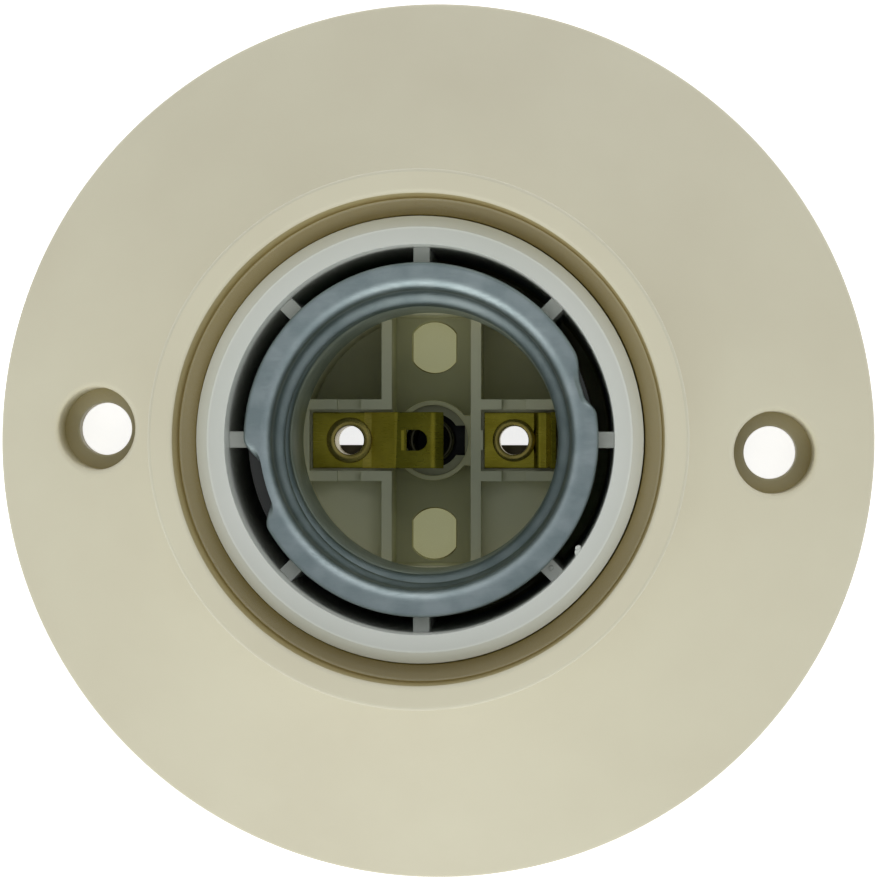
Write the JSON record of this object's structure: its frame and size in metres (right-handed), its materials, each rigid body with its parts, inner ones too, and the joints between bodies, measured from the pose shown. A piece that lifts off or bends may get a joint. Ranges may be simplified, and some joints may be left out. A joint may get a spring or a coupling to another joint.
{
  "type": "ceiling lamp holder",
  "caption": "Round ceiling lamp holder with a low cone flange, a tall neck and a screw shell for an E27 lamp, fixed by two screws.",
  "frame": {"origin": "centre of the face that lies on the ceiling, on the lamp axis", "axes": "+Z out of the ceiling along the lamp axis; X through the two fixing holes; Y across"},
  "size_m": [0.088, 0.088, 0.05],
  "materials": {
    "ivory_moulding": "satin",
    "white_moulding": "satin",
    "plated_steel": "bright zinc plated",
    "contact_brass": "satin",
    "rivet_brass": "satin",
    "spring_steel": "drawn wire"
  },
  "bodies": {
    "holder": {"base_cover": "ivory_moulding", "socket_body": "white_moulding", "screw_shell": "plated_steel", "centre_contact": "contact_brass", "shell_contact": "contact_brass", "contact_spring": "spring_steel", "centre_rivet": "rivet_brass", "shell_rivet": "rivet_brass", "centre_terminal": "contact_brass", "shell_terminal": "contact_brass"},
    "centre_washer": {"centre_clamp_washer": "plated_steel"},
    "centre_screw": {"centre_terminal_screw": "plated_steel"},
    "shell_washer": {"shell_clamp_washer": "plated_steel"},
    "shell_screw": {"shell_terminal_screw": "plated_steel"}
  },
  "joints": [
    {"name": "centre_washer_slide", "type": "slide", "parent": "holder", "child": "centre_washer", "axis": [0, 0, 1], "range_m": [-0.0007, 0.001]},
    {"name": "centre_screw_turn", "type": "hinge", "parent": "centre_washer", "child": "centre_screw", "pos_m": [-0.00781, -0.00422, 0.0057], "axis": [0, 0, 1], "range_deg": [-421, 601]},
    {"name": "shell_washer_slide", "type": "slide", "parent": "holder", "child": "shell_washer", "axis": [0, 0, 1], "range_m": [-0.0007, 0.001]},
    {"name": "shell_screw_turn", "type": "hinge", "parent": "shell_washer", "child": "shell_screw", "pos_m": [0.00808, -0.00367, 0.0057], "axis": [0, 0, 1], "range_deg": [-421, 601]}
  ],
  "couplings": [
    {"joint": "centre_screw_turn", "follows": "centre_washer_slide", "rad_per_m": 10472},
    {"joint": "shell_screw_turn", "follows": "shell_washer_slide", "rad_per_m": 10472}
  ]
}
